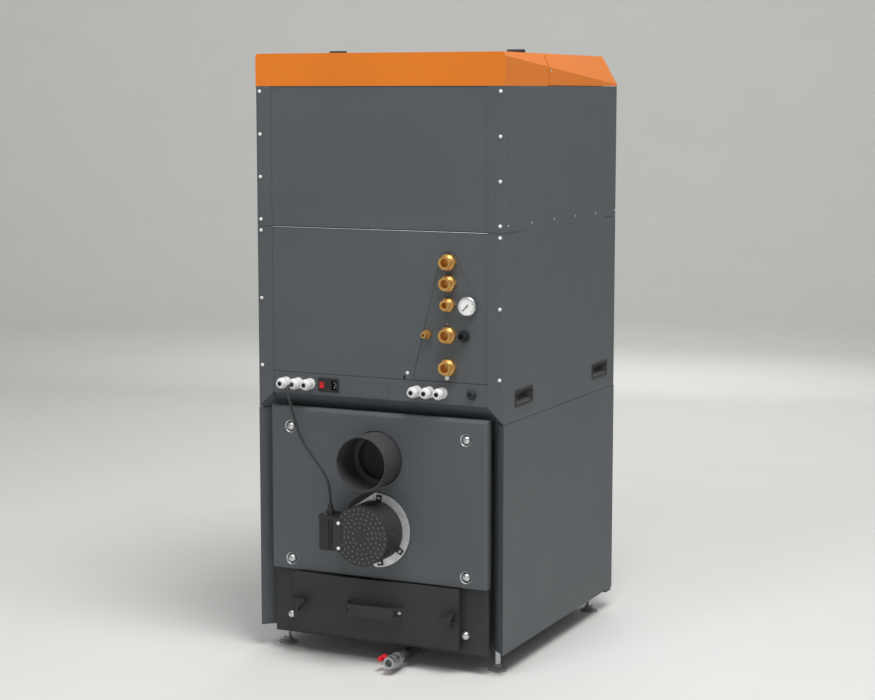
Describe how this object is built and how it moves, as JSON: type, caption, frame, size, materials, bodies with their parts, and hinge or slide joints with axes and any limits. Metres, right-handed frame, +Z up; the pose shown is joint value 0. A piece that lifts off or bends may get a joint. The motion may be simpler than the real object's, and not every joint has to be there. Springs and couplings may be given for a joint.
{
  "type": "pellet boiler",
  "caption": "Free-standing pellet boiler with top hopper, hinged lid, rear flue spigot, flue gas fan, water connections, cable glands, ash cover, drain cock and levelling feet.",
  "frame": {"origin": "floor level, under the middle of the whole envelope without the fan cable", "axes": "+X to the right seen from the front, +Y to the service side with flue and fan, +Z up"},
  "size_m": [0.653, 0.823, 1.464],
  "materials": {
    "grey_cladding": "fine powder coat",
    "orange_lid": "satin powder coat",
    "black_steel": "matt black paint",
    "zinc_steel": "galvanised",
    "brass": "machined",
    "black_plastic": "moulded",
    "white_plastic": "moulded",
    "gauge_white": "white dial",
    "red_plastic": "moulded",
    "black_rubber": "moulded"
  },
  "bodies": {
    "boiler": {"boiler_body": "black_steel", "lower_side_panel_left": "grey_cladding", "lower_side_panel_right": "grey_cladding", "front_lower_panel": "grey_cladding", "mid_side_panel_left": "grey_cladding", "mid_side_panel_right": "grey_cladding", "front_mid_panel": "grey_cladding", "hopper_side_panel_left": "grey_cladding", "hopper_side_panel_right": "grey_cladding", "front_hopper_panel": "grey_cladding", "hopper_rear_panel": "grey_cladding", "connection_panel": "grey_cladding", "fittings_plate": "grey_cladding", "gland_strip": "grey_cladding", "corner_gussets": "grey_cladding", "rear_cover": "grey_cladding", "ash_panel": "black_steel", "ash_cover": "black_steel", "ash_cover_handle": "black_steel", "ash_cover_knobs": "black_plastic", "flue_spigot": "black_steel", "fan_gasket": "black_rubber", "fan_plate": "zinc_steel", "fan_guard": "black_steel", "fan_motor": "zinc_steel", "fan_terminal_box": "black_plastic", "fan_strain_relief": "black_plastic", "fan_cord": "black_rubber", "cable_glands": "white_plastic", "power_inlet": "black_plastic", "rocker_switch": "red_plastic", "rubber_grommet": "black_rubber", "water_fittings": "brass", "hose_nipple": "brass", "union_cap": "black_plastic", "pressure_gauge": "gauge_white", "side_grips_left": "black_plastic", "side_grips_right": "black_plastic", "foot_studs": "zinc_steel", "foot_pads": "black_plastic", "drain_pipe": "black_steel", "drain_valve": "zinc_steel", "hopper_deck": "grey_cladding", "hopper_ledges": "zinc_steel", "hopper_bin": "zinc_steel", "lid_seal": "black_rubber", "lid_rear_cover": "orange_lid", "lid_hinges_fixed": "black_steel"},
    "lid": {"lid_flap": "orange_lid", "lid_hinges_moving": "black_steel"},
    "drain_cock": {"drain_lever": "red_plastic"}
  },
  "joints": [
    {"name": "lid_hinge", "type": "hinge", "parent": "boiler", "child": "lid", "pos_m": [0, 0.0565, 1.459], "axis": [-1, 0, 0], "range_deg": [0, 95]},
    {"name": "drain_turn", "type": "hinge", "parent": "boiler", "child": "drain_cock", "pos_m": [-0.048, 0.3765, 0.031], "axis": [1, 0, 0], "range_deg": [0, 90]}
  ]
}
